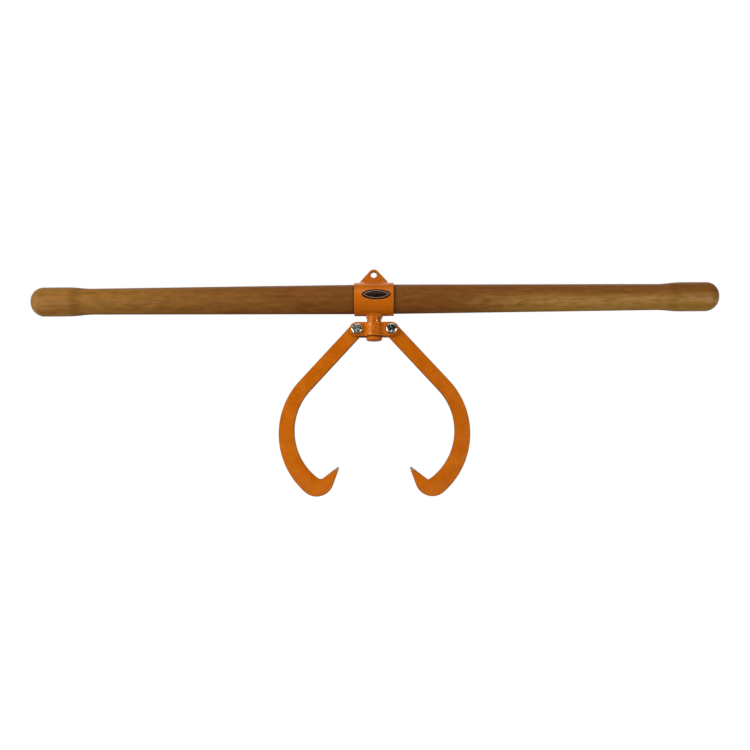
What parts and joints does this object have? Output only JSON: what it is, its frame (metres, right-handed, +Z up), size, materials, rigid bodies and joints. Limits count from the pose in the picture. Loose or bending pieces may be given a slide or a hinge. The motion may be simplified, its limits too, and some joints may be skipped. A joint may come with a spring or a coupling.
{
  "type": "log carrier",
  "caption": "Two-person log carrier: a long wooden handle through a steel collar, with pivoting log hooks on a swivel yoke below it.",
  "frame": {"origin": "centre of the hanging eye, in the lug on top of the collar", "axes": "+Z up, as it hangs or is carried; handle along X; +Y from the front, where the bolt heads are, to the back, where the nuts are"},
  "size_m": [1.22, 0.0632, 0.4012],
  "materials": {
    "oiled_wood": "turned hardwood, oiled, satin",
    "orange_paint": "orange gloss paint on steel",
    "zinc_plate": "bright zinc plate"
  },
  "bodies": {
    "carrier": {"handle": "oiled_wood", "collar_tube": "orange_paint", "collar_screws": "zinc_plate", "hanging_lug": "orange_paint", "lug_weld_front": "orange_paint", "lug_weld_back": "orange_paint", "swivel_boss": "orange_paint", "boss_weld": "orange_paint", "swivel_pin": "orange_paint"},
    "yoke": {"yoke_bush": "orange_paint", "front_strap": "orange_paint", "back_strap": "orange_paint", "yoke_welds": "orange_paint", "left_bolt": "zinc_plate", "right_bolt": "zinc_plate", "left_washer": "zinc_plate", "right_washer": "zinc_plate", "left_nut": "zinc_plate", "right_nut": "zinc_plate"},
    "left_hook": {"left_hook": "orange_paint"},
    "right_hook": {"right_hook": "orange_paint"}
  },
  "joints": [
    {"name": "swivel", "type": "hinge", "parent": "carrier", "child": "yoke", "pos_m": [0, 0, -0.0991], "axis": [0, 0, 1], "continuous": true},
    {"name": "left_hook_pivot", "type": "hinge", "parent": "yoke", "child": "left_hook", "pos_m": [-0.03075, 0, -0.0991], "axis": [0, 1, 0], "range_deg": [-14.5, 50]},
    {"name": "right_hook_pivot", "type": "hinge", "parent": "yoke", "child": "right_hook", "pos_m": [0.03075, 0, -0.0991], "axis": [0, -1, 0], "range_deg": [-14, 50.5]}
  ]
}
